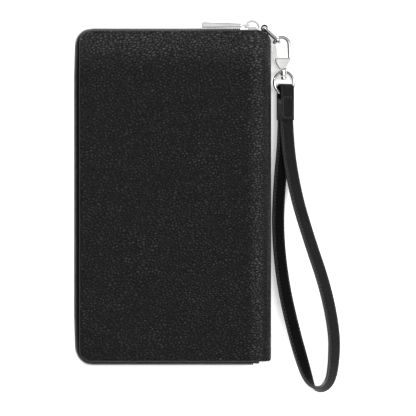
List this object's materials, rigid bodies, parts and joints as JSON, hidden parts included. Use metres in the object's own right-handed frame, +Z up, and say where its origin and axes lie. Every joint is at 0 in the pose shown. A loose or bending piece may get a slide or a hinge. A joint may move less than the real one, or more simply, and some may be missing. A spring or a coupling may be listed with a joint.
{
  "type": "travel document organizer",
  "caption": "Zip-around leather travel document organizer with inner pockets, a pen loop and a wrist strap on a swivel clasp and ring.",
  "frame": {"origin": "middle of the underside, where the organizer rests on its lower cover", "axes": "+Z up through the covers, +Y along the spine towards the ring, +X towards the spine"},
  "size_m": [0.1797, 0.2528, 0.022],
  "materials": {
    "cover_leather": "pebbled, semi-matt",
    "strap_leather": "smooth, painted edges",
    "stiffener": "plain board",
    "lining": "woven twill",
    "pocket_leather": "fine grain, semi-matt",
    "zip_tape": "woven",
    "zip_teeth": "black, satin",
    "hardware": "satin nickel",
    "spring_steel": "bright",
    "elastic": "knitted elastic"
  },
  "bodies": {
    "lower_cover": {"lower_cover_leather": "cover_leather", "lower_cover_board": "stiffener", "lower_cover_lining": "lining", "lower_zip_tape": "zip_tape", "lower_zip_teeth": "zip_teeth", "zip_bottom_stop": "zip_teeth", "zip_top_stop": "zip_teeth", "full_length_slip_pocket": "pocket_leather", "ticket_pocket": "pocket_leather", "card_slot_1": "pocket_leather", "card_slot_2": "pocket_leather", "card_slot_3": "pocket_leather", "card_slot_4": "pocket_leather", "card_slot_5": "pocket_leather"},
    "spine": {"spine_leather": "cover_leather", "spine_lining": "lining", "ring_tab": "strap_leather"},
    "upper_cover": {"upper_cover_leather": "cover_leather", "upper_cover_board": "stiffener", "upper_cover_lining": "lining", "upper_zip_tape": "zip_tape", "upper_zip_teeth": "zip_teeth", "boarding_pass_pocket": "pocket_leather", "passport_pocket": "pocket_leather", "pen_loop": "elastic"},
    "slider": {"slider_body": "hardware", "slider_bridge": "hardware"},
    "pull_tab": {"pull_tab": "hardware"},
    "d_ring": {"d_ring": "hardware"},
    "clasp": {"clasp_hook": "hardware", "swivel_post_head": "hardware", "gate_pin": "hardware", "gate_spring": "spring_steel"},
    "gate": {"clasp_gate": "hardware"},
    "swivel_ring": {"swivel_ring": "hardware"},
    "strap": {"strap_tab": "strap_leather", "wrist_strap": "strap_leather"}
  },
  "joints": [
    {"name": "spine_fold", "type": "hinge", "parent": "lower_cover", "child": "spine", "pos_m": [0.06508, 0, 0.00172], "axis": [0, 1, 0], "range_deg": [0, 90]},
    {"name": "cover_fold", "type": "hinge", "parent": "spine", "child": "upper_cover", "pos_m": [0.06508, 0, 0.02028], "axis": [0, 1, 0], "range_deg": [0, 90]},
    {"name": "zip_slider_travel", "type": "slide", "parent": "lower_cover", "child": "slider", "axis": [-1, 0, 0], "range_m": [0, 0.1], "deforming": ["lower_zip_teeth", "upper_zip_teeth"]},
    {"name": "pull_tab_swing", "type": "hinge", "parent": "slider", "child": "pull_tab", "pos_m": [0.0516, 0.11615, 0.011], "axis": [0, 0, -1], "range_deg": [0, 95]},
    {"name": "d_ring_swing", "type": "hinge", "parent": "spine", "child": "d_ring", "pos_m": [0.0622, 0.1142, 0.011], "axis": [0, 0, 1], "range_deg": [0, 125]},
    {"name": "clasp_swing", "type": "hinge", "parent": "d_ring", "child": "clasp", "pos_m": [0.0724, 0.1047, 0.011], "axis": [0, 0, 1], "range_deg": [0, 45]},
    {"name": "gate_press", "type": "hinge", "parent": "clasp", "child": "gate", "pos_m": [0.0712, 0.0916, 0.006], "axis": [0, 0, -1], "range_deg": [0, 25], "stiffness_Nm_per_rad": 0.004, "springref_deg": -11.46},
    {"name": "swivel_turn", "type": "hinge", "parent": "clasp", "child": "swivel_ring", "pos_m": [0.07565, 0.07785, 0.006], "axis": [0.061, -0.9981, 0], "range_deg": [0, 100]},
    {"name": "strap_fold", "type": "hinge", "parent": "swivel_ring", "child": "strap", "pos_m": [0.07616, 0.06946, 0.006], "axis": [0.866, 0, -0.5], "range_deg": [-22, 0]}
  ]
}
